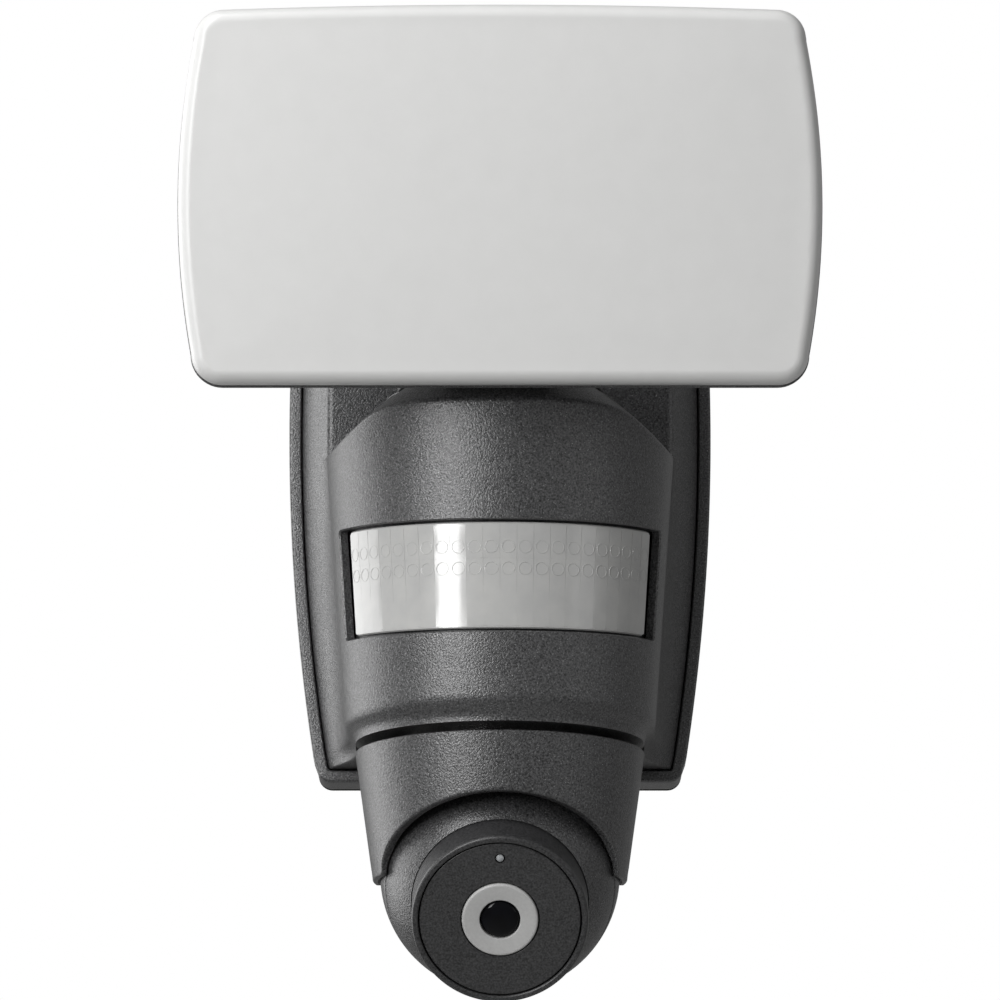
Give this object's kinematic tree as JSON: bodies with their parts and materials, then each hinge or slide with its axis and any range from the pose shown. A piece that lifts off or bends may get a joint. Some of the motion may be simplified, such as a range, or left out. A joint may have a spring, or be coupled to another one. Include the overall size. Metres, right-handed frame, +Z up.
{
  "type": "floodlight security camera",
  "caption": "Wall-mounted floodlight with a tilting rectangular lamp head, a motion sensor window and a swivelling camera ball under a hood.",
  "frame": {"origin": "on the flat back face of the wall plate, on the middle line, 74.3 mm above the plate's lower edge", "axes": "+Y points into the wall, the front of the lamp faces -Y, +Z up, +X to the right seen from the front"},
  "size_m": [0.1526, 0.1234, 0.231],
  "materials": {
    "body_paint": "fine-speckled satin anthracite",
    "opal_diffuser": "satin opal",
    "sensor_lens": "milky moulded polyethylene",
    "dark_plastic": "matt dark grey",
    "black_plastic": "satin black",
    "lens_ring_grey": "satin light grey",
    "lens_glass": "polished dark glass",
    "indicator": "clear light guide",
    "rubber": "matt black",
    "steel": "zinc plated",
    "aluminium": "rolled sheet",
    "circuit_board": "solder resist",
    "component": "moulded black",
    "terminal_cream": "moulded cream"
  },
  "bodies": {
    "base": {"wall_plate": "body_paint", "body_seal": "rubber", "cable_grommet": "rubber", "terminal_block": "terminal_cream", "front_cover": "body_paint", "cover_screw_1": "steel", "cover_screw_2": "steel", "pir_lens": "sensor_lens", "pir_lens_frame": "dark_plastic", "driver_board": "circuit_board", "transformer": "component", "capacitor": "component", "main_board": "circuit_board", "wifi_module": "steel", "pir_board": "circuit_board", "pir_sensor": "steel", "button_switch": "component"},
    "reset_button": {"reset_button": "black_plastic"},
    "lamp_turret": {"lamp_turret": "body_paint", "turret_seal": "rubber", "turret_retainer": "steel", "hinge_washer_1": "steel", "hinge_washer_2": "steel"},
    "lamp_head": {"lamp_diffuser": "opal_diffuser", "lamp_housing": "body_paint", "lamp_seal": "rubber", "led_board": "aluminium", "heat_spreader": "aluminium", "lamp_screw_1": "steel", "lamp_screw_2": "steel", "lamp_screw_3": "steel", "lamp_screw_4": "steel", "hinge_bolt": "steel", "hinge_nut": "steel"},
    "camera_hood": {"camera_hood": "body_paint", "hood_retainer": "dark_plastic", "pivot_pin_1": "steel", "pivot_pin_2": "steel"},
    "camera_ball": {"ball_rear": "body_paint", "ball_front": "body_paint", "ball_seal": "rubber", "ball_screw_1": "steel", "ball_screw_2": "steel", "camera_bezel": "dark_plastic", "camera_face": "dark_plastic", "lens_ring": "lens_ring_grey", "lens_glass": "lens_glass", "lens_barrel": "black_plastic", "image_sensor": "component", "camera_board": "circuit_board", "indicator_window": "indicator"}
  },
  "joints": [
    {"name": "lamp_pan", "type": "hinge", "parent": "base", "child": "lamp_turret", "pos_m": [0, -0.054, 0.0145], "axis": [0, 0, 1], "range_deg": [-40, 40]},
    {"name": "lamp_tilt", "type": "hinge", "parent": "lamp_turret", "child": "lamp_head", "pos_m": [0, -0.067, 0.0278], "axis": [1, 0, 0], "range_deg": [-50, 0]},
    {"name": "camera_pan", "type": "hinge", "parent": "base", "child": "camera_hood", "pos_m": [0, -0.0496, -0.0731], "axis": [0, 0, 1], "range_deg": [-45, 45]},
    {"name": "camera_tilt", "type": "hinge", "parent": "camera_hood", "child": "camera_ball", "pos_m": [0, -0.0496, -0.1023], "axis": [1, 0, 0], "range_deg": [-12, 45]},
    {"name": "reset_press", "type": "slide", "parent": "base", "child": "reset_button", "axis": [0, 0, 1], "range_m": [0, 0.0007], "stiffness_N_per_m": 400}
  ]
}
